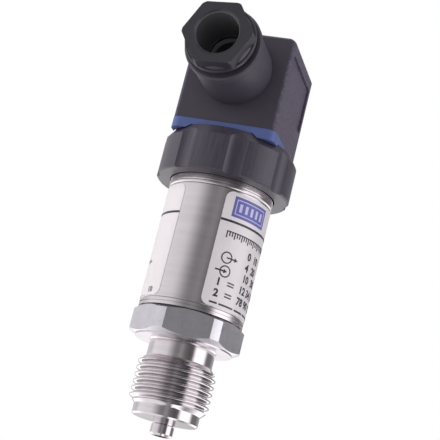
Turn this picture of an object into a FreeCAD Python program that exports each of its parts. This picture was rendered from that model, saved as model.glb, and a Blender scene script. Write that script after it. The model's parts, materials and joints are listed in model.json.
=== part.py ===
import FreeCAD, Part
import math
import os
from FreeCAD import Vector, Rotation, Placement

# Pressure transmitter with an angular cable plug. Millimetres.
# +Z runs along the instrument's axis, Z = 0 is the sealing shoulder under the
# hexagon, and the cable leaves towards -Y.

# Process stem, measured down from the sealing shoulder
stem_length = 20.0
thread_major = 20.955        # G 1/2 B parallel pipe thread
relief_dia = 17.5
relief_length = 4.4
pilot_dia = 17.5
pilot_length = 2.8
spigot_dia = 6.0
spigot_length = 4.0
spigot_groove_depth = 0.25
port_dia = 3.5

# Hexagon with its corners turned down
hex_across = 27.0
hex_corner_dia = 29.7
hex_height = 7.2
shoulder_dia = 26.0
shoulder_height = 0.4
hex_turn_angle = 16.0        # how far the hexagon is turned about the axis

# Weld collar above the hexagon, case tube and turned head
collar_height = 1.7
collar_groove = 0.22
case_dia = 28.0
case_wall = 1.2
case_length = 31.6
lip_height = 3.0
head_band_height = 3.8
head_band_step = 0.15        # how far the band stands proud of the case
head_band_covered = 1.3      # how much of the band goes up inside the ring
head_neck_step = 0.95        # from the band in to the screwed neck
head_neck_length = 6.9
head_neck_wall = 2.7           # below the counterbore that takes the socket's skirt
head_grooves = 4

# Measuring cell in the stem's pocket
pocket_dia = 19.0
pocket_floor = 2.5
cell_height = 6.0
cell_fit = 0.05
membrane_dia = 15.6
membrane_thick = 0.2
membrane_gap = 0.7
pin_count = 6
pin_circle = 10.0
pin_dia = 0.5
pin_reach = 3.6
bead_dia = 1.8
bead_depth = 1.6

# Electronics
carrier_height = 24.0
carrier_base = 2.0
carrier_rail = 3.6
rail_thick = 2.4
board_inset = 2.1            # from the case's bore to the board's edge
board_thick = 1.2
board_length = 22.6
header_board_dia = 16.0
header_board_thick = 0.8
header_board_lift = 2.0
board_part_row = 15.5        # height of the small parts' row on the board
lead_dia = 1.1
lead_outer = 7.6             # the leads' places on the board's top edge
lead_inner = 2.4

# Fluted union ring
ring_dia = 36.4
ring_flutes = 8
flute_width = 5.4
flute_depth = 0.9
ring_flute_angle = 20.5      # direction of one flute, degrees round the axis
ring_top_bevel = 1.8         # radial width of the bevel round the top
ring_top_chamfer = 2.7       # and its height
ring_foot_chamfer = 0.4
ring_flange = 2.0
ring_mouth_gap = 0.3         # round the head's band
thread_gap = 0.05            # radial running clearance of every screwed pair

# Plug socket held by the ring
socket_flange_step = 0.2     # narrower than the neck it sits on
socket_flange_thick = 2.4
socket_boss_dia = 24.1
socket_skirt = 4.0
socket_wall = 0.9
skirt_gap = 0.1
socket_floor = 1.0           # floor below the flange
blade_inset = 5.0            # from the plug's side to the middle of each blade
blade_gap = 0.6              # from the skirt to the blades' backs
blade_width = 6.3
blade_thick = 0.8
blade_reach = 8.2
bush_dia = 5.2
base_seal_cord = 0.9
seat_gap = 0.05              # play between faces of pieces that part or turn

# Profile gasket between ring and plug
gasket_proud = 0.4           # beyond the plug on every side
gasket_corner = 2.6
gasket_thick = 1.7
gasket_drop = 1.1            # how far the corners hang round the ring
gasket_width = 3.6
gasket_clear = 0.3

# Angular plug housing
plug_side = 28.0
plug_height = 26.5
plug_wall = 2.2
plug_roof = 2.6
plug_edge = 1.0
plug_shoulder = 1.7            # bevel along both sides of the roof
plug_shoulder_drop = 1.1
plug_roof_edge = 0.7
roof_seat_dia = 9.0          # boss under the roof that takes the screw's pull
roof_seat_drop = 2.6
key_rib = 0.4
panel_depth = 0.6
panel_low = 9.4              # recessed side panel, height above the housing's foot
panel_high = 22.6
panel_half = 11.8
boss_dia = 19.4
boss_rim_dia = 20.2
boss_rim_width = 1.8
boss_length = 17.0
gland_height = 15.0          # cable axis above the housing's foot
gland_thread_dia = 16.0
gland_seat_dia = 12.4
gland_seat_depth = 4.2       # wall left between seat and cavity

# Cable gland
nut_gap = 2.0                # open thread between nut flange and boss rim
nut_flange_dia = 18.6
nut_flange_thick = 1.1
nut_across = 16.4
nut_length = 3.7
nut_bore_dia = 11.2
nut_shank = 9.0
nut_corner_angle = 4.0
nut_corner_off = 0.35
nut_cone = 1.3               # height of the cone between flange and flats
clamp_ring_thick = 1.2
gland_seal_bore = 9.0

# Terminal block and fixing screw
block_height = 8.6
block_lift = 0.6
slot_width = 7.2
slot_gap = 1.9
clip_sheet = 0.35
clip_play = 0.06
terminal_circle = 5.6
terminal_sink = 1.6          # heads sit this far down in the block
wire_way = 9.6               # distance of the wires' notches from the axis
terminal_screw_dia = 2.8
terminal_head_dia = 4.4
fix_dia = 3.0
fix_head_dia = 6.2
fix_head_height = 2.4
fix_washer_thick = 0.8
fix_recess = 1.6

# Type label wrapped round the case
label_thick = 0.08
label_corner = 2.0
label_low = 0.4              # above the case's lower end
label_high = 31.0
label_start = -67.5          # degrees round the axis
label_sweep = 312.0

# Levels along the axis
hex_top = shoulder_height + hex_height
case_foot = hex_top + collar_height
case_top = case_foot + case_length
band_top = case_top + head_band_height
ring_foot = band_top - head_band_covered
neck_top = band_top + head_neck_length
socket_flange_foot = neck_top + seat_gap
socket_flange_top = socket_flange_foot + socket_flange_thick
ring_flange_foot = socket_flange_top + seat_gap
ring_top = ring_flange_foot + ring_flange
socket_top = ring_top + seat_gap
gasket_top = socket_top + gasket_thick
plug_foot = gasket_top
plug_top = plug_foot + plug_height
cavity_top = plug_top - plug_roof
gland_axis = plug_foot + gland_height
boss_end = -(plug_side / 2 + boss_length)
nut_flange_back = boss_end - nut_gap
nut_flange_front = nut_flange_back - nut_flange_thick
nut_front = nut_flange_front - nut_length
shank_end = nut_flange_back + nut_shank
block_side = plug_side - 2 * (plug_wall + key_rib)
block_foot = plug_foot + block_lift
block_top = block_foot + block_height
case_bore = case_dia - 2 * case_wall
head_band_dia = case_dia + 2 * head_band_step
head_neck_dia = head_band_dia - 2 * head_neck_step
head_bore_dia = head_neck_dia - 2 * head_neck_wall
board_width = case_bore - 2 * board_inset
board_foot = case_foot + lip_height + carrier_base
ring_mouth_dia = head_band_dia + 2 * ring_mouth_gap
ring_top_dia = ring_dia - 2 * ring_top_bevel
socket_flange_dia = head_neck_dia - 2 * socket_flange_step
blade_circle = plug_side / 2 - blade_inset
skirt_dia = 2 * (blade_circle + blade_thick / 2 + blade_gap + socket_wall)
skirt_room_dia = skirt_dia + 2 * skirt_gap
gasket_side = plug_side + 2 * gasket_proud
gasket_window = gasket_side - 2 * gasket_width
cell_top = pocket_floor + cell_height
blade_tip = socket_top + blade_reach
skirt_foot = socket_flange_foot - socket_skirt
fix_head_foot = plug_top - fix_recess + fix_washer_thick


def revolved(points, angle=360.0):
    """Solid turned about the Z axis from (radius, height) points."""
    wire = Part.makePolygon([Vector(r, 0, z) for r, z in points + points[:1]])
    return Part.Face(wire).revolve(Vector(0, 0, 0), Vector(0, 0, 1), angle)


def ring_solid(outer, inner, low, high):
    """Plain ring between two levels, diameters given."""
    body = Part.makeCylinder(outer / 2, high - low, Vector(0, 0, low))
    return body.cut(Part.makeCylinder(inner / 2, high - low, Vector(0, 0, low))) if inner else body


def rod(dia, x, y, low, high):
    return Part.makeCylinder(dia / 2, high - low, Vector(x, y, low))


def block(x_size, y_size, low, high, x=0.0, y=0.0):
    """Upright box centred on (x, y) between two levels."""
    return Part.makeBox(x_size, y_size, high - low, Vector(x - x_size / 2, y - y_size / 2, low))


def rounded_prism(side, corner, low, high):
    """Square prism with its upright edges rounded."""
    body = block(side, side, low, high)
    upright = [e for e in body.Edges if abs(e.tangentAt(e.FirstParameter).z) > 0.9]
    return body.makeFillet(corner, upright)


def hexagon(across, low, high, turn=0.0):
    """Hexagonal prism about Z; turn is the angle of one flat's normal."""
    corner = across / 2 / math.cos(math.pi / 6)
    angles = [math.radians(turn + 30 + 60 * k) for k in range(7)]
    wire = Part.makePolygon([Vector(corner * math.cos(a), corner * math.sin(a), low) for a in angles])
    return Part.Face(wire).extrude(Vector(0, 0, high - low))


def along_cable(shape):
    """Carries a piece made about Z to the cable axis: its +Z then points to -Y."""
    out = shape.copy()
    out.Placement = Placement(Vector(0, 0, gland_axis), Rotation(Vector(1, 0, 0), 90))
    return out


def around(count, piece, first=0.0):
    """Copies of a piece that stands on the +X side, spread evenly round the axis."""
    copies = []
    for k in range(count):
        turned = piece.copy()
        turned.rotate(Vector(0, 0, 0), Vector(0, 0, 1), first + 360.0 * k / count)
        copies.append(turned)
    return copies


# ---- Process end ----

def process_connection():
    stem = -stem_length
    tip = stem - spigot_length
    crest = thread_major / 2
    relief = relief_dia / 2
    pilot = pilot_dia / 2
    spigot = spigot_dia / 2
    port = port_dia / 2
    run_out = crest - relief
    collar = case_dia / 2
    groove_low = hex_top + (collar_height - collar_groove) / 2
    profile = [
        (port, tip), (spigot - 0.5, tip), (spigot, tip + 0.5),
        (spigot, stem - 1.3), (spigot - spigot_groove_depth, stem - 1.1), (spigot, stem - 0.9),
        (spigot, stem), (pilot - 0.4, stem), (pilot, stem + 0.4),
        (pilot, stem + pilot_length), (crest, stem + pilot_length + run_out),
        (crest, -relief_length - run_out), (relief, -relief_length), (relief, -0.3), (relief + 0.3, 0),
        (shoulder_dia / 2, 0), (shoulder_dia / 2, shoulder_height + 0.5),
        (shoulder_dia / 2, hex_top), (collar, hex_top),
        (collar, groove_low), (collar - 0.4, groove_low),
        (collar - 0.4, groove_low + collar_groove), (collar, groove_low + collar_groove),
        (collar, case_foot), (case_bore / 2, case_foot), (case_bore / 2, case_foot + lip_height),
        (pocket_dia / 2, case_foot + lip_height), (pocket_dia / 2, pocket_floor),
        (membrane_dia / 2, pocket_floor), (membrane_dia / 2, pocket_floor - 0.6), (port, pocket_floor - 0.6),
    ]
    turned = revolved(profile)
    # hexagon prism limited by 30 degree cones at both ends and a turned corner
    corner = hex_corner_dia / 2
    flat = hex_across / 2
    slope = math.tan(math.radians(30))
    drop = (corner - flat + 0.3) * slope
    envelope = revolved([
        (pocket_dia / 2, shoulder_height), (flat - 0.3, shoulder_height),
        (corner, shoulder_height + drop), (corner, hex_top - drop),
        (flat - 0.3, hex_top), (pocket_dia / 2, hex_top)])
    nut = hexagon(hex_across, shoulder_height, hex_top, hex_turn_angle - 90).common(envelope)
    return turned.fuse(nut).removeSplitter()


def sensor_cell():
    edge = pocket_dia / 2 - cell_fit
    seat = pocket_floor + membrane_gap
    body = revolved([
        (membrane_dia / 2, pocket_floor), (edge, pocket_floor), (edge, cell_top - 1.2),
        (edge - 1.2, cell_top), (0, cell_top), (0, seat), (membrane_dia / 2, seat)])
    holes = around(pin_count, rod(bead_dia, pin_circle / 2, 0, cell_top - bead_depth, cell_top))
    return body.cut(holes)


def sensor_membrane():
    # thin disc with two pressed rings, welded under the cell
    seat = pocket_floor + membrane_gap
    edge = membrane_dia / 2 - cell_fit
    crest = 0.25
    top = [(0, seat)]
    for middle in (0.35, 0.65):
        r = edge * middle
        top += [(r - 0.8, seat), (r, seat - crest), (r + 0.8, seat)]
    top += [(edge, seat)]
    low = [(r, z - membrane_thick) for r, z in reversed(top)]
    return revolved(top + low)


def glass_beads():
    low = cell_top - bead_depth
    bead = rod(bead_dia, pin_circle / 2, 0, low, cell_top)
    return Part.makeCompound(around(pin_count, bead.cut(rod(pin_dia, pin_circle / 2, 0, low, cell_top))))


def header_pins():
    pin = rod(pin_dia, pin_circle / 2, 0, cell_top - bead_depth, cell_top + pin_reach)
    return Part.makeCompound(around(pin_count, pin))


def header_board():
    low = cell_top + header_board_lift
    board = ring_solid(header_board_dia, 0, low, low + header_board_thick)
    hole = rod(pin_dia, pin_circle / 2, 0, low, low + header_board_thick)
    return board.cut(around(pin_count, hole))


# ---- Case and electronics ----

def case_tube():
    outer = case_dia / 2
    inner = case_bore / 2
    bevel = 0.25
    return revolved([(inner, case_foot), (outer - bevel, case_foot), (outer, case_foot + bevel),
                     (outer, case_top - bevel), (outer - bevel, case_top), (inner, case_top)])


def case_head():
    band = head_band_dia / 2
    neck = head_neck_dia / 2
    bore = head_bore_dia / 2
    spigot = case_bore / 2
    pitch = (head_band_height - head_band_covered) / head_grooves
    profile = [(bore, case_top - lip_height), (spigot, case_top - lip_height), (spigot, case_top),
               (band - 0.25, case_top), (band, case_top + 0.25)]
    for k in range(1, head_grooves):
        z = case_top + k * pitch
        profile += [(band, z), (band - 0.22, z + 0.1), (band, z + 0.2)]
    profile += [(band, band_top - 0.3), (band - 0.3, band_top), (neck, band_top),
                (neck, neck_top - 0.4), (neck - 0.4, neck_top), (bore, neck_top)]
    return revolved(profile).cut(rod(skirt_room_dia, 0, 0, skirt_foot - 0.2, neck_top))


def board_carrier():
    foot = case_foot + lip_height
    base = ring_solid(case_bore - 0.2, header_board_dia + 1.6, foot, board_foot)
    rails = []
    for side in (-1, 1):
        rail = block(rail_thick, carrier_rail, board_foot, foot + carrier_height, x=side * board_width / 2)
        groove = block(board_width, board_thick, board_foot, foot + carrier_height)
        rails.append(rail.cut(groove))
    return base.fuse(rails).removeSplitter()


def circuit_board():
    return block(board_width, board_thick, board_foot, board_foot + board_length)


def board_parts():
    # chips, capacitors and coils soldered flat on the two faces
    face = board_thick / 2
    chip_rows = [(-3.2, 6.5, 5.2, 6.0, 1.4), (4.2, 7.0, 4.2, 3.2, 1.1), (4.4, 12.5, 3.2, 2.6, 1.0),
                 (-4.6, 13.6, 2.2, 1.4, 0.8), (-1.4, 13.6, 2.2, 1.4, 0.8), (6.2, 17.2, 1.6, 2.6, 0.9)]
    pieces = []
    for x, up, wide, tall, thick in chip_rows:
        pieces.append(Part.makeBox(wide, thick, tall, Vector(x - wide / 2, face, board_foot + up - tall / 2)))
    for x, up in ((-4.0, 8.5), (3.6, 8.5)):
        can = Part.makeCylinder(2.4, 4.2, Vector(x, -face, board_foot + up), Vector(0, -1, 0))
        pieces.append(can.makeFillet(0.4, [can.Edges[0], can.Edges[2]]))
    for x in (-5.0, -1.7, 1.7, 5.0):
        pieces.append(Part.makeBox(1.8, 1.0, 1.2, Vector(x - 0.9, -face - 1.0, board_foot + board_part_row)))
    return Part.makeCompound(pieces)


def sensor_ribbon():
    # flat flexible link from the header board up to the circuit board's face
    thick = 0.25
    wide = 7.0
    low = cell_top + header_board_lift + header_board_thick
    face = board_thick / 2
    path = [(3.4, low), (3.4 - thick, low), (3.4 - thick, board_foot - 0.6), (face, board_foot + 1.8),
            (face, board_foot + 3.2), (face + thick, board_foot + 3.2), (face + thick, board_foot + 1.9),
            (3.4, board_foot - 0.5)]
    wire = Part.makePolygon([Vector(-wide / 2, y, z) for y, z in path + path[:1]])
    return Part.Face(wire).extrude(Vector(wide, 0, 0))


def lead_wires():
    # straight risers from the board's top edge to the tails of the four blades
    low = board_foot + board_length
    high = skirt_foot + 0.4
    reach = blade_circle - (blade_thick + lead_dia) / 2
    leads = []
    for angle, start in ((0, lead_outer), (90, lead_inner), (180, -lead_outer), (270, -lead_inner)):
        x = reach * math.cos(math.radians(angle))
        y = reach * math.sin(math.radians(angle))
        a, b = Vector(start, 0, low), Vector(x, y, high)
        knee_low, knee_high = Vector(start, 0, low + 1.2), Vector(x, y, high - 0.2)
        lead = Part.makeCylinder(lead_dia / 2, 1.2, a)
        run = knee_high - knee_low
        lead = lead.fuse([Part.makeCylinder(lead_dia / 2, run.Length, knee_low, run),
                          Part.makeSphere(lead_dia / 2, knee_low), Part.makeSphere(lead_dia / 2, knee_high),
                          Part.makeCylinder(lead_dia / 2, 1.4, knee_high)])
        leads.append(lead.removeSplitter())
    return Part.makeCompound(leads)


def type_label():
    # thin film wrapped round the tube, open on one side, with rounded corners
    outer = case_dia / 2 + label_thick
    low = case_foot + label_low
    high = case_foot + label_high
    film = revolved([(case_dia / 2, low), (outer, low), (outer, high), (case_dia / 2, high)], label_sweep)
    film.rotate(Vector(0, 0, 0), Vector(0, 0, 1), label_start)
    # corner tool: a square post with its inner corner left round, lying along a radius
    reach = case_dia / 2 + 1.0
    post = Part.makeBox(reach, 2 * label_corner, 2 * label_corner, Vector(0, 0, 0))
    post = post.cut(Part.makeCylinder(label_corner, reach, Vector(0, label_corner, label_corner), Vector(1, 0, 0)))
    post = post.common(Part.makeBox(reach, label_corner, label_corner, Vector(0, 0, 0)))
    corners = []
    for angle, hand in ((label_start, 1), (label_start + label_sweep, -1)):
        for level, way in ((low, 1), (high, -1)):
            tool = post.copy()
            if hand < 0:
                tool = tool.mirror(Vector(0, 0, 0), Vector(0, 1, 0))
            if way < 0:
                tool = tool.mirror(Vector(0, 0, 0), Vector(0, 0, 1))
            tool.rotate(Vector(0, 0, 0), Vector(0, 0, 1), angle)
            tool.translate(Vector(0, 0, level))
            corners.append(tool)
    return film.cut(corners)


# ---- Union ring, socket and gasket ----

def fluted_ring():
    ridge = ring_dia / 2
    bore = head_neck_dia / 2 + thread_gap
    over_band = band_top + 0.3
    turned = revolved([
        (ring_mouth_dia / 2, ring_foot), (ridge - ring_foot_chamfer, ring_foot),
        (ridge, ring_foot + ring_foot_chamfer), (ridge, ring_top - ring_top_chamfer),
        (ring_top_dia / 2, ring_top), (socket_boss_dia / 2 + 0.1, ring_top),
        (socket_boss_dia / 2 + 0.1, ring_flange_foot), (bore, ring_flange_foot),
        (bore, over_band), (ring_mouth_dia / 2, over_band)])
    # upright flutes, each a shallow scoop that runs out through both bevels
    half = flute_width / 2
    scoop = (half ** 2 + flute_depth ** 2) / (2 * flute_depth)
    tool = Part.makeCylinder(scoop, ring_top - ring_foot, Vector(ridge - flute_depth + scoop, 0, ring_foot))
    return turned.cut(around(ring_flutes, tool, ring_flute_angle)).removeSplitter()


def blade_strip(low, high):
    return block(blade_thick, blade_width, low, high, x=blade_circle)


def socket_base():
    skirt = skirt_dia / 2
    floor_low = socket_flange_foot - socket_floor
    body = revolved([
        (0, floor_low), (skirt - socket_wall, floor_low), (skirt - socket_wall, skirt_foot),
        (skirt, skirt_foot), (skirt, socket_flange_foot), (socket_flange_dia / 2, socket_flange_foot),
        (socket_flange_dia / 2, socket_flange_top), (socket_boss_dia / 2, socket_flange_top),
        (socket_boss_dia / 2, socket_top), (0, socket_top)])
    slots = around(4, blade_strip(floor_low, socket_top))
    bush = rod(bush_dia, 0, 0, floor_low, socket_top)
    seal_room = ring_solid(head_neck_dia - 1.0, head_neck_dia - 1.0 - 4 * base_seal_cord,
                           socket_flange_foot, socket_flange_foot + base_seal_cord)
    return body.cut(slots + [bush, seal_room])


def blade():
    # flat contact with a bevelled tip
    strip = blade_strip(skirt_foot + 0.4, blade_tip)
    tip = [e for e in strip.Edges if abs(e.CenterOfMass.z - blade_tip) < 0.01
           and abs(e.tangentAt(e.FirstParameter).x) > 0.9]
    return strip.makeChamfer(1.0, tip)


def contact_blades():
    return Part.makeCompound(around(4, blade())[:3])


def earth_blade():
    return around(4, blade())[3]


def screw_bush():
    low = socket_flange_foot - socket_floor
    return ring_solid(bush_dia, fix_dia + 2 * thread_gap, low, socket_top)


def base_seal():
    # cord ring squeezed between socket flange and head neck
    middle = (head_neck_dia - 1.0) / 2 - base_seal_cord
    return Part.makeTorus(middle, base_seal_cord / 2,
                          Vector(0, 0, socket_flange_foot + base_seal_cord / 2))


def profile_gasket():
    # square frame whose underside is dished to sit round the ring's bevelled top
    low = socket_top - gasket_drop
    body = rounded_prism(gasket_side, gasket_corner, low, gasket_top)
    ridge = ring_dia / 2 + gasket_clear
    bevel_foot = ring_top - ring_top_chamfer
    room = revolved([
        (0, bevel_foot - 1), (ridge, bevel_foot - 1), (ridge, bevel_foot + gasket_clear / 2),
        (ring_top_dia / 2 + gasket_clear, socket_top), (0, socket_top)])
    window = rounded_prism(gasket_window, gasket_corner / 2, low, gasket_top)
    return body.cut([room, window])


# ---- Plug ----

def roof_profile(width, drop):
    # upright outline of the housing with both top corners bevelled, run through from front to back
    half = plug_side / 2
    corners = [(-half, plug_foot), (half, plug_foot), (half, plug_top - drop), (half - width, plug_top),
               (width - half, plug_top), (-half, plug_top - drop)]
    points = [Vector(x, -half, z) for x, z in corners + corners[:1]]
    return Part.Face(Part.makePolygon(points)).extrude(Vector(0, plug_side, 0))


def plug_housing():
    half = plug_side / 2
    shell = rounded_prism(plug_side, plug_edge, plug_foot, plug_top)
    front_and_back = roof_profile(plug_roof_edge, plug_roof_edge)
    front_and_back.rotate(Vector(0, 0, 0), Vector(0, 0, 1), 90)
    shell = shell.common(roof_profile(plug_shoulder, plug_shoulder_drop)).common(front_and_back)
    boss = along_cable(revolved([
        (0, half - 1.0), (boss_dia / 2, half - 1.0), (boss_dia / 2, half + boss_length - boss_rim_width - 1.2),
        (boss_rim_dia / 2, half + boss_length - boss_rim_width),
        (boss_rim_dia / 2, half + boss_length - 0.4), (boss_rim_dia / 2 - 0.4, half + boss_length),
        (0, half + boss_length)]))
    shell = shell.fuse(boss)
    cavity = rounded_prism(plug_side - 2 * plug_wall, 1.2, plug_foot, cavity_top)
    seat = half - plug_wall + gland_seat_depth
    bore = gland_thread_dia / 2 + thread_gap
    gland_bore = along_cable(revolved([
        (0, half - plug_wall - 1.0), (gland_seat_dia / 2, half - plug_wall - 1.0),
        (gland_seat_dia / 2, seat), (bore, seat), (bore, half + boss_length), (0, half + boss_length)]))
    shell = shell.cut([cavity, gland_bore])
    # raised seat round the fixing screw inside the roof
    shell = shell.fuse(rod(roof_seat_dia, 0, 0, cavity_top - roof_seat_drop, cavity_top))
    screw_room = [rod(fix_head_dia + 1.0, 0, 0, plug_top - fix_recess, plug_top),
                  rod(fix_dia + 0.5, 0, 0, cavity_top - roof_seat_drop, plug_top)]
    panels = []
    for side in (-1, 1):
        panel = block(panel_depth, 2 * panel_half, plug_foot + panel_low, plug_foot + panel_high,
                      x=side * (half - panel_depth / 2))
        across = [e for e in panel.Edges if abs(e.tangentAt(e.FirstParameter).x) > 0.9]
        panels.append(panel.makeFillet(1.0, across))
    # ribs that key the terminal block on three sides
    rib = block(key_rib, 3.0, plug_foot + 1.5, cavity_top, x=half - plug_wall - key_rib / 2)
    ribs = around(4, rib)[:3]
    shell = shell.cut(screw_room + panels)
    return shell.fuse(ribs).removeSplitter()


def terminal_block():
    body = rounded_prism(block_side, 0.8, block_foot, block_top)
    slots = around(4, block(slot_gap, slot_width, block_foot, block_top - 2.0, x=blade_circle))
    sunk = block_top - terminal_sink
    heads = around(4, rod(terminal_head_dia + 0.3, terminal_circle, 0, sunk, block_top), 45)
    shanks = around(4, rod(terminal_screw_dia, terminal_circle, 0, sunk - 4.0, sunk), 45)
    ways = around(4, block(4.6, 2.6, sunk, block_top, x=wire_way))
    middle = rod(fix_dia + 0.6, 0, 0, block_foot, block_top)
    return body.cut(slots + heads + shanks + ways + [middle]).removeSplitter()


def contact_clips():
    # spring forks, one round each blade
    low = block_foot + 0.8
    high = block_top - 2.0
    inner = blade_thick + 2 * clip_play
    sheet = block(inner + 2 * clip_sheet, blade_width - 0.4, low, high, x=blade_circle)
    gap = block(inner, blade_width - 0.4, low, high - clip_sheet, x=blade_circle)
    return Part.makeCompound(around(4, sheet.cut(gap)))


def terminal_screws():
    sunk = block_top - terminal_sink
    head = rod(terminal_head_dia, terminal_circle, 0, sunk, block_top - 0.3)
    shank = rod(terminal_screw_dia, terminal_circle, 0, sunk - 4.0, sunk)
    slot = block(terminal_head_dia, 0.6, block_top - 0.9, block_top - 0.3, x=terminal_circle)
    return Part.makeCompound(around(4, head.fuse(shank).cut(slot).removeSplitter(), 45))


def screw_washer():
    return ring_solid(fix_head_dia, fix_dia + 2 * thread_gap,
                      plug_top - fix_recess, plug_top - fix_recess + fix_washer_thick)


def fixing_screw():
    head = fix_head_dia / 2
    foot = socket_flange_foot + 0.6
    top = fix_head_foot + fix_head_height
    body = revolved([
        (0, foot), (fix_dia / 2 - 0.4, foot), (fix_dia / 2, foot + 0.4), (fix_dia / 2, fix_head_foot),
        (head, fix_head_foot), (head, top - 0.3), (head - 0.3, top), (0, top)])
    return body.cut(block(fix_head_dia, 0.9, top - 1.1, top))


# ---- Cable gland ----

def gland_nut():
    bore = nut_bore_dia / 2
    shank = gland_thread_dia / 2
    core = revolved([
        (bore, -shank_end), (shank - 0.4, -shank_end), (shank, -shank_end + 0.4),
        (shank, -nut_flange_back), (nut_flange_dia / 2 - 0.25, -nut_flange_back),
        (nut_flange_dia / 2, -nut_flange_back + 0.25), (nut_flange_dia / 2, -nut_flange_front - 0.25),
        (nut_flange_dia / 2 - 0.25, -nut_flange_front), (nut_across / 2 + 0.5, -nut_flange_front),
        (nut_across / 2 - 0.2, -nut_flange_front + nut_cone), (nut_across / 2 - 0.2, -nut_front - 0.3),
        (nut_across / 2 - 0.5, -nut_front),
        (bore + 0.6, -nut_front), (bore, -nut_front - 0.6)])
    corner = nut_across / 2 / math.cos(math.pi / 6)
    dome = revolved([
        (bore + 0.7, -nut_flange_front), (corner - 0.1, -nut_flange_front), (corner - 0.1, -nut_front - 0.4),
        (corner - nut_corner_off, -nut_front), (bore + 0.7, -nut_front)])
    six = hexagon(nut_across, -nut_flange_front, -nut_front, nut_corner_angle + 30).common(dome)
    return along_cable(core.fuse(six).removeSplitter())


def clamp_ring():
    return along_cable(revolved([
        (nut_bore_dia / 2 - 0.3, -shank_end - clamp_ring_thick), (gland_thread_dia / 2 - 0.3, -shank_end - clamp_ring_thick),
        (gland_thread_dia / 2 - 0.3, -shank_end), (nut_bore_dia / 2 - 0.3, -shank_end)]))


def gland_seal():
    # rubber bush between clamping ring and seat, coned at the ring's end
    seat = plug_side / 2 - plug_wall + gland_seat_depth
    front = -shank_end - clamp_ring_thick - seat_gap
    edge = gland_thread_dia / 2 - 0.15
    bore = gland_seal_bore / 2
    return along_cable(revolved([
        (bore, seat), (edge, seat), (edge, front - 0.8), (edge - 0.8, front), (bore + 0.6, front), (bore, front - 0.6)]))


nodes = {
    "process_connection": process_connection,
    "sensor_cell": sensor_cell,
    "sensor_membrane": sensor_membrane,
    "glass_beads": glass_beads,
    "header_pins": header_pins,
    "header_board": header_board,
    "sensor_ribbon": sensor_ribbon,
    "case_tube": case_tube,
    "case_head": case_head,
    "board_carrier": board_carrier,
    "circuit_board": circuit_board,
    "board_parts": board_parts,
    "lead_wires": lead_wires,
    "type_label": type_label,
    "fluted_ring": fluted_ring,
    "socket_base": socket_base,
    "contact_blades": contact_blades,
    "earth_blade": earth_blade,
    "screw_bush": screw_bush,
    "base_seal": base_seal,
    "profile_gasket": profile_gasket,
    "plug_housing": plug_housing,
    "terminal_block": terminal_block,
    "contact_clips": contact_clips,
    "terminal_screws": terminal_screws,
    "screw_washer": screw_washer,
    "fixing_screw": fixing_screw,
    "gland_nut": gland_nut,
    "clamp_ring": clamp_ring,
    "gland_seal": gland_seal,
}

os.makedirs("parts", exist_ok=True)
for name, make in nodes.items():
    shape = make()
    print(name, len(shape.Solids), round(shape.Volume, 2), shape.isValid())
    shape.exportStep("parts/" + name + ".step")
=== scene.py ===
# Pressure transmitter with an angular cable plug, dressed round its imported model.
import json
import math

import bpy
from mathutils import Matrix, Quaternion, Vector


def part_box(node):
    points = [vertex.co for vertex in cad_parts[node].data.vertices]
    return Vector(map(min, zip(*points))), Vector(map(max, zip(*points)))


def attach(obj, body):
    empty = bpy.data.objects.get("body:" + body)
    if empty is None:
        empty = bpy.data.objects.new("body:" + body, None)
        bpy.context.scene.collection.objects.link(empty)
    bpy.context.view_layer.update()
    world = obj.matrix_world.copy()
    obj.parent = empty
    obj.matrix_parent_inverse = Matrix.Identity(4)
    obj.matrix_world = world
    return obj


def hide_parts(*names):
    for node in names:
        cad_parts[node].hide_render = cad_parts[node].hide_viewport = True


mm = 0.001
weld = 0.001 * mm  # points closer than this are one

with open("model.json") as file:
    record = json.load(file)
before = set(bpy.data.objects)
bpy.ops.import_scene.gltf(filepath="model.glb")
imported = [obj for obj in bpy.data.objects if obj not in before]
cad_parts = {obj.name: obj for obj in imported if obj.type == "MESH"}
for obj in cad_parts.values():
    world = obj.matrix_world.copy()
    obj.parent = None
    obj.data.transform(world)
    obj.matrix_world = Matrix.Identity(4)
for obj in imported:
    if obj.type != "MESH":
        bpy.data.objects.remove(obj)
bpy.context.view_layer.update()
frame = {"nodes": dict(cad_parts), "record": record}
nodes = frame["nodes"]
print("frame loaded:", len(nodes), "nodes")


# Surfaces

class Wire:
    # a number that varies over a surface; Python's operators add Math nodes
    def __init__(self, board, socket):
        self.board = board
        self.socket = socket

    def math(self, operation, *others):
        return self.board.add("ShaderNodeMath", {"operation": operation}, [self, *others])

    def __add__(self, other):
        return self.math("ADD", other)

    __radd__ = __add__

    def __mul__(self, other):
        return self.math("MULTIPLY", other)

    __rmul__ = __mul__

    def __sub__(self, other):
        return self.math("SUBTRACT", other)

    def __rsub__(self, other):
        return self.board.add("ShaderNodeMath", {"operation": "SUBTRACT"}, [other, self])

    def __truediv__(self, other):
        return self.math("DIVIDE", other)

    def __gt__(self, other):
        return self.math("GREATER_THAN", other)

    def __lt__(self, other):
        return self.math("LESS_THAN", other)

    def __abs__(self):
        return self.math("ABSOLUTE")


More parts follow.
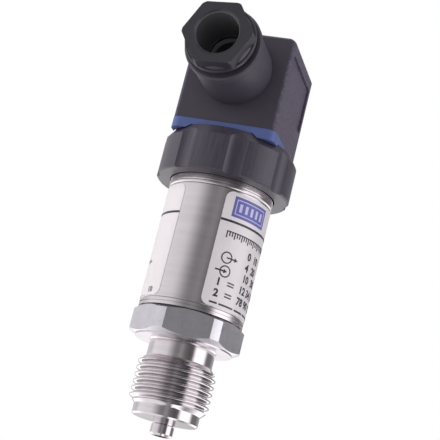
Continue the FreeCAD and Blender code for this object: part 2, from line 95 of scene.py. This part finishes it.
class Board:
    # a node tree; add puts a node in and sets or wires its inputs
    def __init__(self, tree):
        self.tree = tree

    def add(self, kind, settings, values, out=0):
        node = self.tree.nodes.new(kind)
        for key, value in settings.items():
            if key == "stops":
                for stop, (spot, shade) in zip(self.rampStops(node, len(value)), value):
                    stop.position = spot
                    stop.color = shade
            else:
                setattr(node, key, value)
        pairs = values.items() if isinstance(values, dict) else enumerate(values)
        for key, value in pairs:
            if isinstance(value, Wire):
                self.tree.links.new(value.socket, node.inputs[key])
            else:
                node.inputs[key].default_value = value
        return Wire(self, node.outputs[out]) if node.outputs else None

    def rampStops(self, node, count):
        ramp = node.color_ramp.elements
        while len(ramp) < count:
            ramp.new(1.0)
        return ramp

    def blend(self, factor, first, second):
        return self.add("ShaderNodeMix", {"data_type": "RGBA"}, {"Factor": factor, 6: first, 7: second}, 2)

    def fade(self, value, start, end, before=0.0, after=1.0):
        return self.add("ShaderNodeMapRange", {}, [value, start, end, before, after])


class Sheet(Board):
    # the node tree of one material, with the object's own coordinates
    def __init__(self, name):
        self.material = bpy.data.materials.new(name)
        self.material.use_nodes = True
        super().__init__(self.material.node_tree)
        self.shader = self.tree.nodes["Principled BSDF"]
        self.place = self.add("ShaderNodeTexCoord", {}, [], "Object")
        self.x, self.y, self.z = [self.add("ShaderNodeSeparateXYZ", {}, [self.place], k) for k in range(3)]

    def noise(self, scale, detail, rough, stretch=None):
        where = self.place
        if stretch:
            where = self.add("ShaderNodeMapping", {}, {"Vector": where, "Scale": stretch})
        return self.add("ShaderNodeTexNoise", {},
                        {"Vector": where, "Scale": scale, "Detail": detail, "Roughness": rough}, "Fac")

    def bump(self, height, strength, distance):
        return self.add("ShaderNodeBump", {}, {"Strength": strength, "Distance": distance, "Height": height})

    def finish(self, **sockets):
        names = {"colour": "Base Color", "roughness": "Roughness", "metallic": "Metallic",
                 "normal": "Normal", "coat": "Coat Weight", "coatRoughness": "Coat Roughness",
                 "glow": "Emission Color", "glowStrength": "Emission Strength"}
        for key, value in sockets.items():
            socket = self.shader.inputs[names[key]]
            if isinstance(value, Wire):
                self.tree.links.new(value.socket, socket)
            else:
                socket.default_value = value
        return self.material


def rgb(red, green, blue):
    return red, green, blue, 1.0


def grey(level):
    return rgb(level, level, level)


# how fine each surface's noise is, in waves a metre
grain = {
    "moulded": 2600.0, "glossy": 1900.0, "speckle": 1700.0, "cloud": 110.0, "rubber": 420.0,
    "plating": 900.0, "film": 260.0, "ink": 5200.0, "barCloud": 330.0, "barGrain": 2100.0,
}

steel = {
    "colour": rgb(0.67, 0.625, 0.65), "shade": rgb(0.54, 0.50, 0.53), "roughness": 0.24,
    "lineDepth": 0.004 * mm,
    "barColour": rgb(0.71, 0.68, 0.735), "barShade": rgb(0.58, 0.555, 0.605), "barRoughness": 0.36,
    # how fine the marks are along X, Y and Z
    "latheLines": (60, 60, 9000), "latheBands": (25, 25, 420), "barScratches": (160, 160, 5200),
}


def turnedSteel(name, roughness=steel["roughness"], depth=steel["lineDepth"]):
    # lathe lines run round the instrument's axis
    s = Sheet(name)
    lines = s.noise(1.0, 3.0, 0.6, stretch=steel["latheLines"])
    broad = s.noise(1.0, 2.0, 0.5, stretch=steel["latheBands"])
    tint = (lines - 0.5) * 1.3 + (broad - 0.5) * 1.1 + 0.55
    return s.finish(
        colour=s.blend(tint, steel["shade"], steel["colour"]), metallic=1.0,
        roughness=lines * 0.12 + broad * 0.08 + (roughness - 0.1),
        normal=s.bump(lines, 0.35, depth))


def drawnSteel(name):
    # bar stock: short scratches across the flats and a cloudy skin
    s = Sheet(name)
    scratches = s.noise(1.0, 4.0, 0.65, stretch=steel["barScratches"])
    cloud = (s.noise(grain["barCloud"], 3.0, 0.55) + s.noise(grain["barGrain"], 3.0, 0.6) - 1) * 1.6 + 0.5
    return s.finish(
        colour=s.blend(cloud, steel["barShade"], steel["barColour"]), metallic=1.0,
        roughness=scratches * 0.2 + cloud * 0.08 + (steel["barRoughness"] - 0.14),
        normal=s.bump(scratches + cloud, 0.4, 0.006 * mm))


def mouldedPlastic(name, dark, light, roughness, coat=0.0):
    # fine spark-eroded grain with slow clouds of gloss
    s = Sheet(name)
    fine = s.noise(grain["moulded"], 3.0, 0.6)
    cloud = s.noise(grain["cloud"], 2.0, 0.5)
    return s.finish(
        colour=s.blend(fine * 0.5 + cloud * 0.5, dark, light),
        roughness=fine * 0.16 + cloud * 0.1 + (roughness - 0.13),
        normal=s.bump(fine, 0.35, 0.02 * mm), coat=coat)


def softRubber(name, dark, light, roughness=0.55):
    # matt skin with a cloudy bloom
    s = Sheet(name)
    bloom = s.noise(grain["rubber"], 4.0, 0.6)
    return s.finish(
        colour=s.blend(bloom, dark, light), roughness=bloom * 0.2 + (roughness - 0.1),
        normal=s.bump(bloom, 0.25, 0.03 * mm))


def platedMetal(name, colour):
    # thin plating, a little darker in spots
    s = Sheet(name)
    skin = s.noise(grain["plating"], 3.0, 0.6)
    darker = rgb(*[part * 0.86 for part in colour[:3]])
    return s.finish(colour=s.blend(skin, darker, colour), metallic=1.0, roughness=skin * 0.16 + 0.2)


def labelFilm(name):
    # satin polyester film
    s = Sheet(name)
    haze = s.noise(grain["film"], 3.0, 0.5)
    return s.finish(
        colour=s.blend(haze, rgb(0.79, 0.745, 0.775), rgb(0.85, 0.805, 0.83)),
        roughness=haze * 0.12 + 0.3, coat=0.25, coatRoughness=0.2)


def printInk(name, colour):
    # fine mottle of printed ink
    s = Sheet(name)
    dots = s.noise(grain["ink"], 2.0, 0.6)
    paler = rgb(*[part * 1.25 + 0.006 for part in colour[:3]])
    return s.finish(colour=s.blend(dots, colour, paler), roughness=dots * 0.1 + 0.35)


housing = {
    "width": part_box("plug_housing")[1].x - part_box("plug_housing")[0].x, "sideSkin": 0.9 * mm,
    "dark": rgb(0.040, 0.035, 0.048), "light": rgb(0.072, 0.063, 0.087),
    # the sides' colours are lighter than the front's: painted light on the sides
    "sidePaintedLitDark": rgb(0.050, 0.040, 0.064), "sidePaintedLitLight": rgb(0.120, 0.100, 0.150),
    "cloud": 120.0, "grainDepth": 0.03 * mm,
}


def housingPlastic(name):
    # plug body: fine grain on front and back, coarse spark-eroded speckle on the sides; the sides are
    # painted lighter, painted light falling on them from the side
    s = Sheet(name)
    fine = s.noise(grain["moulded"], 3.0, 0.6)
    cloud = s.noise(housing["cloud"], 2.0, 0.5)
    speckle = (s.noise(grain["speckle"], 3.0, 0.7) - 0.5) * 3.2 + 0.5
    side = abs(s.x) > housing["width"] / 2 - housing["sideSkin"]
    plain = s.blend(fine * 0.5 + cloud * 0.5, housing["dark"], housing["light"])
    paintedLitSpeckle = s.blend(speckle, housing["sidePaintedLitDark"], housing["sidePaintedLitLight"])
    return s.finish(
        colour=s.blend(side, plain, paintedLitSpeckle),
        roughness=fine * 0.14 + cloud * 0.08 + side * 0.06 + 0.4,
        normal=s.bump(fine * (1 - side) + speckle * side, 0.4, housing["grainDepth"]))


ring = {
    "dark": rgb(0.040, 0.034, 0.049), "light": rgb(0.076, 0.065, 0.094), "streaks": (1500, 1500, 110),
    "grainDepth": 0.012 * mm,
}


def ringPlastic(name):
    # faint streaks of the mould's draw run up the flutes
    s = Sheet(name)
    streaks = (s.noise(1.0, 3.0, 0.6, stretch=ring["streaks"]) - 0.5) * 2.4 + 0.5
    fine = s.noise(grain["glossy"], 3.0, 0.6)
    return s.finish(
        colour=s.blend(streaks * 0.6 + fine * 0.4, ring["dark"], ring["light"]),
        roughness=fine * 0.16 + streaks * 0.06 + 0.27,
        normal=s.bump(fine + streaks * 0.5, 0.35, ring["grainDepth"]))


nut = {
    "axis": (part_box("gland_nut")[0].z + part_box("gland_nut")[1].z) / 2, "boreRadius": 5.75 * mm,
    # the bore's colour is far lighter than the nut's: painted light inside the hole
    "dark": rgb(0.026, 0.024, 0.031), "light": rgb(0.044, 0.041, 0.054), "bore": rgb(0.13, 0.13, 0.142),
    "grainDepth": 0.012 * mm,
}


def nutPlastic(name):
    # glossy moulded nut, with the matt bore that the tool's core leaves; the bore is also painted a lighter
    # grey, painted light inside the hole
    s = Sheet(name)
    up = s.z - nut["axis"]
    bore = s.x * s.x + up * up < nut["boreRadius"] ** 2
    fine = s.noise(grain["glossy"], 3.0, 0.6)
    cloud = s.noise(grain["cloud"], 2.0, 0.5)
    skin = s.blend(fine * 0.5 + cloud * 0.5, nut["dark"], nut["light"])
    return s.finish(
        colour=s.blend(bore, skin, nut["bore"]),
        roughness=fine * 0.16 + cloud * 0.1 + bore * 0.3 + 0.2,
        normal=s.bump(fine, 0.35, nut["grainDepth"]))


finishes = {
    "stainless": turnedSteel("turnedSteel"),
    "glass_seal": mouldedPlastic("fusedGlass", rgb(0.10, 0.17, 0.14), rgb(0.16, 0.25, 0.20), 0.2, coat=0.5),
    "pin_metal": platedMetal("goldPlate", rgb(0.86, 0.62, 0.28)),
    "board_green": mouldedPlastic("solderMask", rgb(0.010, 0.09, 0.035), rgb(0.02, 0.14, 0.06), 0.35),
    "component_dark": mouldedPlastic("epoxyBlack", rgb(0.02, 0.02, 0.022), rgb(0.05, 0.05, 0.052), 0.5),
    "ribbon_amber": mouldedPlastic("amberFilm", rgb(0.42, 0.17, 0.02), rgb(0.52, 0.24, 0.04), 0.3),
    "wire_sleeve": softRubber("wireSleeve", rgb(0.36, 0.03, 0.025), rgb(0.46, 0.06, 0.05)),
    "label_film": labelFilm("labelFilm"),
    "ring_black": ringPlastic("ringPlastic"),
    "socket_grey": mouldedPlastic("socketPlastic", rgb(0.04, 0.04, 0.044), rgb(0.065, 0.065, 0.07), 0.45),
    "blade_metal": platedMetal("tinPlate", rgb(0.72, 0.71, 0.68)),
    "brass_insert": platedMetal("turnedBrass", rgb(0.72, 0.52, 0.25)),
    # this rubber is painted a light grey, not black: painted light inside the gland's hole
    "seal_rubber": softRubber("sealRubberPaintedLight", rgb(0.09, 0.09, 0.097), rgb(0.14, 0.14, 0.148)),
    "gasket_blue": softRubber("blueRubber", rgb(0.070, 0.102, 0.28), rgb(0.110, 0.150, 0.36), 0.5),
    "plug_black": housingPlastic("plugPlastic"),
    "block_grey": mouldedPlastic("blockPlastic", rgb(0.10, 0.105, 0.11), rgb(0.14, 0.145, 0.15), 0.5),
    "screw_steel": platedMetal("zincPlate", rgb(0.60, 0.60, 0.58)),
    "nut_black": nutPlastic("nutPlastic"),
}
slots = {entry["node"]: entry["material_slot"] for entry in frame["record"]["subparts"]}
for nodeName, node in nodes.items():
    node.data.materials.clear()
    node.data.materials.append(finishes[slots[nodeName]])
print("surfaces made:", len(finishes))


# Modelling helpers

def startFresh():
    if bpy.context.object and bpy.context.object.mode != "OBJECT":
        bpy.ops.object.mode_set(mode="OBJECT")
    bpy.ops.object.select_all(action="DESELECT")


def activate(piece):
    startFresh()
    piece.select_set(True)
    bpy.context.view_layer.objects.active = piece


def applyAll(piece):
    activate(piece)
    for modifier in list(piece.modifiers):
        bpy.ops.object.modifier_apply(modifier=modifier.name)


def settle(piece):
    # leaves the piece at the origin with its place in its mesh
    activate(piece)
    bpy.ops.object.transform_apply(location=True, rotation=True, scale=True)


def joinPieces(pieces, name):
    activate(pieces[0])
    for piece in pieces[1:]:
        piece.select_set(True)
    if len(pieces) > 1:
        bpy.ops.object.join()
    pieces[0].name = pieces[0].data.name = name
    return pieces[0]


def chain(points, name):
    # a line of edges in the XZ plane, drawn by extruding one vertex from point to point
    startFresh()
    bpy.ops.mesh.primitive_plane_add(size=mm, location=(points[0][0], 0, points[0][1]))
    bpy.ops.object.mode_set(mode="EDIT")
    bpy.ops.mesh.merge(type="CENTER")
    for (r, z), (nextR, nextZ) in zip(points, points[1:]):
        bpy.ops.mesh.extrude_region_move(TRANSFORM_OT_translate={"value": (nextR - r, 0, nextZ - z)})
    bpy.ops.object.mode_set(mode="OBJECT")
    line = bpy.context.object
    line.name = line.data.name = name
    settle(line)
    return line


# Process stem with its cut thread

stem = {
    # 14 threads an inch, 20.955 mm over the crests
    "crest": 10.4775 * mm, "root": 9.32 * mm, "relief": 8.75 * mm, "core": 8.7 * mm,
    "pitch": 1.814 * mm, "low": -17.2 * mm, "high": -4.4 * mm, "steps": 96,
    # the bar's skin lies between these heights, further out than this and on faces less level than this
    "barFoot": 0.4 * mm, "barTop": 7.59 * mm, "barReach": 12.9 * mm, "barLevel": 0.9,
    # below this the finer thread surface begins
    "turnedTop": -0.2 * mm,
    "threadRoughness": 0.12, "threadLines": 0.0015 * mm, "threadSmooth": 50.0, "bodySmooth": 25.0,
}


def threadTooth():
    # one pitch of a rounded 55 degree thread, from root to root
    crest, root, pitch = stem["crest"], stem["root"], stem["pitch"]
    height = crest - root
    shape = [(0.0, 0.0), (0.07, 0.03), (0.13, 0.12), (0.19, 0.28), (0.31, 0.72), (0.37, 0.90), (0.43, 0.98),
             (0.5, 1.0), (0.57, 0.98), (0.63, 0.90), (0.69, 0.72), (0.81, 0.28), (0.87, 0.12), (0.93, 0.03),
             (1.0, 0.0)]
    start = stem["low"] - 2 * pitch
    return [(root + up * height, start + along * pitch) for along, up in shape]


def cutThread():
    helix = chain(threadTooth(), "stemThread")
    turns = int((stem["high"] - stem["low"]) / stem["pitch"]) + 4
    screw = helix.modifiers.new("screw", "SCREW")
    screw.axis = "Z"
    screw.angle = math.tau
    screw.screw_offset = stem["pitch"]
    screw.iterations = turns
    screw.steps = screw.render_steps = stem["steps"]
    screw.use_merge_vertices = False
    applyAll(helix)
    bpy.ops.object.mode_set(mode="EDIT")
    bpy.ops.mesh.select_all(action="SELECT")
    bpy.ops.mesh.remove_doubles(threshold=2 * weld)
    for level, below in ((stem["low"], True), (stem["high"], False)):
        bpy.ops.mesh.select_all(action="SELECT")
        bpy.ops.mesh.bisect(plane_co=(0, 0, level), plane_no=(0, 0, 1), clear_inner=below,
                            clear_outer=not below)
    bpy.ops.object.mode_set(mode="OBJECT")
    for vertex in helix.data.vertices:
        # the crests run out on a 45 degree bevel at both ends
        end = min(vertex.co.z - stem["low"], stem["high"] - vertex.co.z)
        limit = stem["core"] + max(0.0, end)
        radius = math.hypot(vertex.co.x, vertex.co.y)
        if radius > limit:
            vertex.co.x *= limit / radius
            vertex.co.y *= limit / radius
    bpy.ops.object.mode_set(mode="EDIT")
    bpy.ops.mesh.select_all(action="DESELECT")
    bpy.ops.mesh.select_mode(type="EDGE")
    bpy.ops.mesh.select_non_manifold(extend=False)
    bpy.ops.mesh.bridge_edge_loops()
    bpy.ops.mesh.select_all(action="SELECT")
    bpy.ops.mesh.normals_make_consistent(inside=False)
    bpy.ops.object.mode_set(mode="OBJECT")
    bpy.ops.object.shade_smooth_by_angle(angle=math.radians(stem["threadSmooth"]))
    return helix


def stemBody():
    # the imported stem, its plain band drawn in to the thread's core
    activate(nodes["process_connection"])
    bpy.ops.object.duplicate()
    body = bpy.context.object
    for key in list(body.keys()):
        del body[key]
    bpy.ops.object.mode_set(mode="EDIT")
    bpy.ops.mesh.select_all(action="SELECT")
    bpy.ops.mesh.customdata_custom_splitnormals_clear()
    bpy.ops.mesh.remove_doubles(threshold=weld)
    bpy.ops.object.mode_set(mode="OBJECT")
    for vertex in body.data.vertices:
        radius = math.hypot(vertex.co.x, vertex.co.y)
        if stem["low"] < vertex.co.z < stem["high"] and radius > stem["relief"]:
            vertex.co.x *= stem["relief"] / radius
            vertex.co.y *= stem["relief"] / radius
    bpy.ops.object.shade_smooth_by_angle(angle=math.radians(stem["bodySmooth"]))
    return body


def markHexagon(piece):
    # the hexagon keeps the skin of its bar, the rest is turned
    piece.data.materials.clear()
    piece.data.materials.append(finishes["stainless"])
    piece.data.materials.append(drawnSteel("hexagonSteel"))
    piece.data.materials.append(turnedSteel("threadSteel", stem["threadRoughness"], stem["threadLines"]))
    for face in piece.data.polygons:
        middle = face.center
        reach = math.hypot(middle.x, middle.y)
        onBar = stem["barFoot"] < middle.z < stem["barTop"] and reach > stem["barReach"]
        if onBar and abs(face.normal.z) < stem["barLevel"]:
            face.material_index = 1
        elif middle.z < stem["turnedTop"]:
            face.material_index = 2


processStem = joinPieces([stemBody(), cutThread()], "processStem")
markHexagon(processStem)
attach(processStem, "transmitter_body")
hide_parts("process_connection")
print("stem threaded:", len(processStem.data.polygons), "faces")


# Print on the label: plain bars, numbers and marks

label = {
    # the film's radius plus a clearance; where its left edge lies and how far it runs round, in degrees;
    # and the ink's thickness
    "radius": 14.08 * mm + 0.02 * mm, "left": -67.5, "sweep": 312.0, "ink": 0.015 * mm,
    "black": rgb(0.022, 0.018, 0.034), "blue": rgb(0.125, 0.118, 0.36), "pale": rgb(0.52, 0.52, 0.76),
    # from here on in millimetres, right from the label's left edge and up from the sealing face
    "column": 0.35,
    "line": {"level": 32.45, "weight": 0.6},
    "ruler": {"left": 2.4, "step": 0.76, "strokes": 23, "weight": 0.34, "long": 28.0, "short": 28.55,
              "top": 29.75, "bar": (29.6, 29.9)},
    "signs": ((4.1, 7.5, 22.9), (4.5, 5.1, 19.3)),  # middle of the ring, tip of the arrow, level
    "ring": {"radius": 1.6, "weight": 0.33},
    "arrow": {"length": 3.4, "head": 0.7, "weight": 0.38},
    "numbers": (("0  10", 10.7, 24.5), ("4  20", 10.7, 21.5), ("10  30", 10.7, 18.6), ("1", 2.7, 15.4),
                ("12 34 56", 10.3, 15.4), ("2", 2.7, 12.4), ("78 90 12", 10.3, 12.4)),
    "numberHeight": 2.0, "numberWeight": 0.1, "figureShare": 0.72,  # a figure's height in its font size
    "equals": {"span": (6.0, 8.2), "rows": (15.4, 12.4), "bars": ((0.45, 0.8), (1.2, 1.55))},
    "dashes": {"level": 10.5, "weight": 0.45, "spans": ((2.2, 4.4), (4.9, 9.6), (10.2, 14.0), (14.6, 21.0))},
    "panel": {"left": 2.5, "right": 14.0, "low": 33.8, "high": 39.3, "rim": 0.7, "weight": 0.25,
              "marks": 5, "first": 1.75, "step": 1.8, "markWidth": 0.85, "markRim": 1.65, "lift": 0.02},
    # back from the label's far edge
    "farNumber": {"words": "10", "back": 4.8, "low": 10.5, "height": 1.5, "weight": 0.05},
    "farSign": ((9.4, 7.0, 18.9, 19.3), (8.6, 8.2, 18.4, 19.8)),
}


def flatBar(left, right, low, high):
    startFresh()
    columns = max(2, int((right - left) / label["column"]))
    bpy.ops.mesh.primitive_grid_add(x_subdivisions=columns, y_subdivisions=1, size=1,
                                    location=((left + right) / 2 * mm, (low + high) / 2 * mm, 0))
    bar = bpy.context.object
    bar.scale = ((right - left) * mm, (high - low) * mm, 1)
    settle(bar)
    return bar


def flatNumber(words, left, low, height, weight):
    startFresh()
    bpy.ops.object.text_add(location=(left * mm, low * mm, 0))
    text = bpy.context.object
    text.data.body = words
    text.data.size = height * mm / label["figureShare"]
    text.data.offset = weight * mm
    text.data.resolution_u = 4
    bpy.ops.object.convert(target="MESH")
    settle(bpy.context.object)
    return bpy.context.object


def flatRing(x, y):
    startFresh()
    bpy.ops.mesh.primitive_circle_add(vertices=40, radius=label["ring"]["radius"] * mm, fill_type="NGON",
                                      location=(x * mm, y * mm, 0))
    bpy.ops.object.mode_set(mode="EDIT")
    bpy.ops.mesh.select_mode(type="FACE")
    bpy.ops.mesh.select_all(action="SELECT")
    bpy.ops.mesh.inset(thickness=label["ring"]["weight"] * mm)
    bpy.ops.mesh.delete(type="FACE")
    bpy.ops.object.mode_set(mode="OBJECT")
    settle(bpy.context.object)
    return bpy.context.object


def flatArrow(x, y):
    # shaft and head of an arrow that points right; x is its tip
    head, half = label["arrow"]["head"], label["arrow"]["weight"] / 2
    startFresh()
    bpy.ops.mesh.primitive_circle_add(vertices=3, radius=head * mm, fill_type="NGON", location=(0, 0, 0))
    tip = bpy.context.object
    tip.rotation_euler.z = -math.pi / 2
    settle(tip)
    tip.location = ((x - head) * mm, y * mm, 0)
    settle(tip)
    shaft = flatBar(x - label["arrow"]["length"], x - head, y - half, y + half)
    return joinPieces([shaft, tip], "arrow")


def wrapPrint(pieces, name, ink, lift=0.0):
    # bends flat print round the case and gives it the thickness of ink
    sheet = joinPieces(pieces, name)
    radius = label["radius"] + lift * mm
    for vertex in sheet.data.vertices:
        turn = math.radians(label["left"]) + vertex.co.x / label["radius"]
        vertex.co = (radius * math.cos(turn), radius * math.sin(turn), vertex.co.y)
    activate(sheet)
    bpy.ops.object.mode_set(mode="EDIT")
    bpy.ops.mesh.select_all(action="SELECT")
    bpy.ops.mesh.remove_doubles(threshold=weld)
    bpy.ops.object.mode_set(mode="OBJECT")
    wall = sheet.modifiers.new("inkThickness", "SOLIDIFY")
    wall.thickness = label["ink"]
    wall.offset = 1.0
    applyAll(sheet)
    sheet.data.materials.clear()
    sheet.data.materials.append(ink)
    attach(sheet, "transmitter_body")
    return sheet


def rulerPieces():
    # a graduation in place of a title, with a longer stroke at every third
    ruler = label["ruler"]
    pieces = []
    for k in range(ruler["strokes"]):
        left = ruler["left"] + ruler["step"] * k
        low = ruler["short"] if k % 3 else ruler["long"]
        pieces.append(flatBar(left, left + ruler["weight"], low, ruler["top"]))
    return pieces + [flatBar(ruler["left"], left + ruler["weight"], *ruler["bar"])]


def textPieces():
    # signs for output and supply, plain numbers, and dashes in the place of words
    pieces = []
    for middle, tip, level in label["signs"]:
        pieces += [flatRing(middle, level), flatArrow(tip, level)]
    for words, left, low in label["numbers"]:
        pieces.append(flatNumber(words, left, low, label["numberHeight"], label["numberWeight"]))
    equals = label["equals"]
    for row in equals["rows"]:
        pieces += [flatBar(*equals["span"], row + low, row + high) for low, high in equals["bars"]]
    dashes = label["dashes"]
    for left, right in dashes["spans"]:
        pieces.append(flatBar(left, right, dashes["level"], dashes["level"] + dashes["weight"]))
    return pieces


def farEndPieces(arc):
    # a number and a plus sign at the label's far end, beside the bare strip
    number = label["farNumber"]
    pieces = [flatNumber(number["words"], arc - number["back"], number["low"], number["height"],
                         number["weight"])]
    for leftBack, rightBack, low, high in label["farSign"]:
        pieces.append(flatBar(arc - leftBack, arc - rightBack, low, high))
    return pieces


def panelMarks():
    # a frame with plain upright bars in it
    panel = label["panel"]
    left, right = panel["left"] + panel["rim"], panel["right"] - panel["rim"]
    low, high = panel["low"] + panel["rim"], panel["high"] - panel["rim"]
    weight = panel["weight"]
    pieces = [flatBar(left, right, high - weight, high), flatBar(left, right, low, low + weight),
              flatBar(left, left + weight, low, high), flatBar(right - weight, right, low, high)]
    for k in range(panel["marks"]):
        start = panel["left"] + panel["first"] + panel["step"] * k
        pieces.append(flatBar(start, start + panel["markWidth"], panel["low"] + panel["markRim"],
                              panel["high"] - panel["markRim"]))
    return pieces


def printLabel():
    dark = printInk("inkBlack", label["black"])
    blue = printInk("inkBlue", label["blue"])
    pale = printInk("inkPale", label["pale"])
    arc = math.radians(label["sweep"]) * label["radius"] / mm
    line, panel = label["line"], label["panel"]
    rule = flatBar(0.0, arc, line["level"] - line["weight"] / 2, line["level"] + line["weight"] / 2)
    black = [rule] + rulerPieces() + textPieces() + farEndPieces(arc)
    ground = [flatBar(panel["left"], panel["right"], panel["low"], panel["high"])]
    return [wrapPrint(black, "labelPrint", dark), wrapPrint(ground, "labelPanel", blue),
            wrapPrint(panelMarks(), "labelPanelMarks", pale, panel["lift"])]


printed = printLabel()
print("label printed:", [piece.name for piece in printed])


# Studio

studio = {
    "floor": -0.15, "floorSize": 6.0, "floorGrey": 0.7, "floorGlow": 0.4, "fadeFrom": 0.5, "fadeTo": 1.8,
    "ambient": 0.36, "peak": 1.8,
    # bands in what gloss sees, by how far its direction goes up, or back for behind: where each starts
    # and ends, and its strength past the end where that isn't 1
    "dimAbove": (0.35, 0.6, 0.6), "whiteFloor": (-0.12, -0.235), "behind": (-0.2, 0.2),
    "floorShadow": (-0.5, -0.85, 0.12), "whiteCeiling": (0.75, 0.95, 0.5),
    # share of the peak that gloss sees round the horizon, by direction in degrees
    "horizon": (
        (-180, 0.64), (-150, 0.59), (-125, 0.55), (-97, 0.18), (-86, 0.15), (-74, 0.22), (-62, 0.12),
        (-45, 0.07), (-34, 0.09), (-22, 1.0), (13, 1.0), (27, 0.14), (52, 0.13), (76, 0.28), (98, 0.24),
        (118, 0.38), (145, 0.46), (163, 0.45), (180, 0.64)),
}

lamps = {
    "leftBox": {"place": (-1.0, -0.2, 0.42), "aim": (0, 0, 0.04), "size": (0.8, 1.0), "power": 8.4,
                "colour": (1.0, 0.975, 0.975)},
    "rightBox": {"place": (0.95, 0.1, 0.35), "aim": (0, 0, 0.04), "size": (0.4, 0.9), "power": 4.2,
                 "colour": (0.98, 0.95, 1.0)},
    "frontBox": {"place": (0.05, -1.1, 0.12), "aim": (0, 0, 0.05), "size": (0.5, 0.4), "power": 2.7,
                 "colour": (1.0, 1.0, 1.0)},
}


def furnishRoom():
    # world: white to the camera, soft light and dark cards to the object
    world = bpy.context.scene.world or bpy.data.worlds.new("room")
    bpy.context.scene.world = world
    world.use_nodes = True
    world.node_tree.nodes.clear()
    room = Board(world.node_tree)
    way = room.add("ShaderNodeTexCoord", {}, [], "Generated")
    x, y, z = [room.add("ShaderNodeSeparateXYZ", {}, [way], k) for k in range(3)]
    turn = room.add("ShaderNodeMath", {"operation": "ARCTAN2"}, [y, x])
    stops = [(angle / 360 + 0.5, grey(level)) for angle, level in studio["horizon"]]
    horizon = room.add("ShaderNodeValToRGB", {"stops": stops}, [turn / math.tau + 0.5], "Color")
    dimStart, dimEnd, dim = studio["dimAbove"]
    cards = room.blend(room.fade(z, dimStart, dimEnd, 0.0, dim), horizon, grey(0))
    # cards end below and high up, where floor and ceiling are white; straight below lies the shadow
    behind = room.fade(y, *studio["behind"])
    shadowStart, shadowEnd, dark = studio["floorShadow"]
    shadow = room.fade(z, shadowStart, shadowEnd, 1.0, dark)
    low = room.fade(z, *studio["whiteFloor"]) * behind * shadow
    ceilingStart, ceilingEnd, ceilingWhite = studio["whiteCeiling"]
    high = room.fade(z, ceilingStart, ceilingEnd, 0.0, ceilingWhite)
    gloss = room.blend(low.math("MAXIMUM", high), cards, grey(1))
    camera, glossy, through = [room.add("ShaderNodeLightPath", {}, [], f"Is {kind} Ray")
                               for kind in ("Camera", "Glossy", "Transmission")]
    clear = camera.math("MAXIMUM", through)
    strength = (1 - glossy) * studio["ambient"] + glossy * studio["peak"]
    glow = room.add("ShaderNodeBackground", {},
                    [room.blend(glossy, grey(1), gloss), strength * (1 - clear) + clear])
    room.add("ShaderNodeOutputWorld", {}, {"Surface": glow})


def softbox(name, lampValues):
    startFresh()
    bpy.ops.object.light_add(type="AREA", location=lampValues["place"])
    lamp = bpy.context.object
    lamp.name = lamp.data.name = name
    lamp.data.shape = "RECTANGLE"
    lamp.data.size, lamp.data.size_y = lampValues["size"]
    lamp.data.energy = lampValues["power"]
    lamp.data.color = lampValues["colour"]
    lamp.visible_glossy = False
    aim = Vector(lampValues["aim"]) - Vector(lampValues["place"])
    lamp.rotation_euler = aim.to_track_quat("-Z", "Y").to_euler()


def layFloor():
    startFresh()
    bpy.ops.mesh.primitive_plane_add(size=studio["floorSize"], location=(0, 0, studio["floor"]))
    floor = bpy.context.object
    floor.name = floor.data.name = "studioFloor"
    # part of its white is its own to the camera, so it stays even, keeps the shadow and fades out far off
    s = Sheet("paleFloor")
    seen = s.add("ShaderNodeLightPath", {}, [], "Is Camera Ray")
    far = s.fade(s.x * s.x + s.y * s.y, studio["fadeFrom"] ** 2, studio["fadeTo"] ** 2)
    glow = s.blend(seen, grey(0), s.blend(far, grey(studio["floorGlow"]), grey(1)))
    paint = s.finish(colour=s.blend(far, grey(studio["floorGrey"]), grey(0)), roughness=0.9, glow=glow,
                     glowStrength=1.0)
    floor.data.materials.append(paint)
    floor.visible_glossy = False


view = {
    "target": Vector((0, 0, 0.035)), "azimuth": 16.86, "elevation": -14.88, "distance": 0.36, "roll": 14.16,
    "lens": 110.0, "sensor": 36.0, "shiftX": 0.0122, "shiftY": 0.0022, "nearest": 0.01,
}


def placeCamera():
    azimuth, elevation = math.radians(view["azimuth"]), math.radians(view["elevation"])
    back = Vector((math.sin(azimuth) * math.cos(elevation), -math.cos(azimuth) * math.cos(elevation),
                   math.sin(elevation)))
    startFresh()
    bpy.ops.object.camera_add(location=view["target"] + back * view["distance"])
    camera = bpy.context.object
    turn = (-back).to_track_quat("-Z", "Y") @ Quaternion((0, 0, 1), math.radians(view["roll"]))
    camera.rotation_euler = turn.to_euler()
    camera.data.lens = view["lens"]
    camera.data.sensor_width = view["sensor"]
    camera.data.shift_x = view["shiftX"]
    camera.data.shift_y = view["shiftY"]
    camera.data.clip_start = view["nearest"]
    bpy.context.scene.camera = camera


furnishRoom()
layFloor()
for lampName, values in lamps.items():
    softbox(lampName, values)
placeCamera()
bpy.context.scene.view_settings.view_transform = "Standard"
print("studio set")
